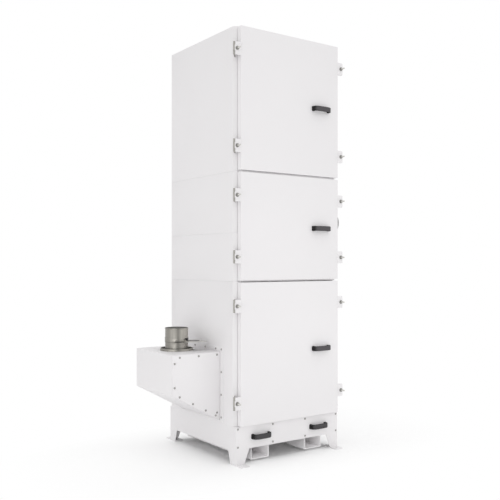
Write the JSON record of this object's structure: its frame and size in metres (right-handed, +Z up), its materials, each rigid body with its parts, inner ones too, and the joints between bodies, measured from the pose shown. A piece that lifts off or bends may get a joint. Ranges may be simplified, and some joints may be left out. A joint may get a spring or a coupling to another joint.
{
  "type": "central vacuum filter unit",
  "caption": "Tall white free-standing filter tower on a plinth with fork pockets, stacked doors with side clamps and a side inlet box with a slide-gate spigot.",
  "frame": {"origin": "on the floor at the middle of the four anchor holes, which is the middle of the plinth", "axes": "+Z up, -Y towards the doors, -X towards the inlet box"},
  "size_m": [1.192, 0.92, 2.622],
  "materials": {
    "paint": "fine matt white powder coat",
    "door_paint": "smooth satin white powder coat",
    "galvanised": "dull galvanised sheet",
    "zinc": "zinc plated steel",
    "handle": "black moulded plastic",
    "seal": "soft black foam rubber",
    "gauge": "stainless steel case with a white dial"
  },
  "bodies": {
    "tower": {"base_front_panel": "paint", "base_rear_panel": "paint", "base_left_panel": "paint", "base_right_panel": "paint", "base_deck": "paint", "fork_tunnels": "paint", "foot_plates": "paint", "base_handles": "handle", "bottom_left_wall": "paint", "spacer_left_wall": "paint", "filter_left_wall": "paint", "top_left_wall": "paint", "bottom_right_wall": "paint", "spacer_right_wall": "paint", "filter_right_wall": "paint", "top_right_wall": "paint", "rear_wall": "paint", "low_joint_frame": "paint", "middle_joint_frame": "paint", "high_joint_frame": "paint", "sill_rail": "paint", "head_rail": "paint", "roof": "paint", "middle_door": "door_paint", "middle_seal": "seal", "middle_handle": "handle", "middle_lugs": "door_paint", "top_door": "door_paint", "top_seal": "seal", "top_handle": "handle", "top_lugs": "door_paint", "hinge_brackets": "zinc", "clamp_blocks": "door_paint", "inlet_box": "paint", "inlet_covers": "paint", "inlet_flange": "paint", "spigot_collar": "galvanised", "gate_ring": "galvanised", "gate_knob": "handle", "pressure_gauge": "gauge"},
    "bottom_door": {"bottom_door": "door_paint", "bottom_seal": "seal", "bottom_handle": "handle", "bottom_lugs": "door_paint"},
    "slide_gate": {"gate_blade": "galvanised"}
  },
  "joints": [
    {"name": "bottom_door_hinge", "type": "hinge", "parent": "tower", "child": "bottom_door", "pos_m": [-0.428, -0.4185, 0.664], "axis": [0, 0, -1], "range_deg": [0, 110]},
    {"name": "gate_slide", "type": "slide", "parent": "tower", "child": "slide_gate", "axis": [0.766, -0.6428, 0], "range_m": [-0.1, 0]}
  ]
}
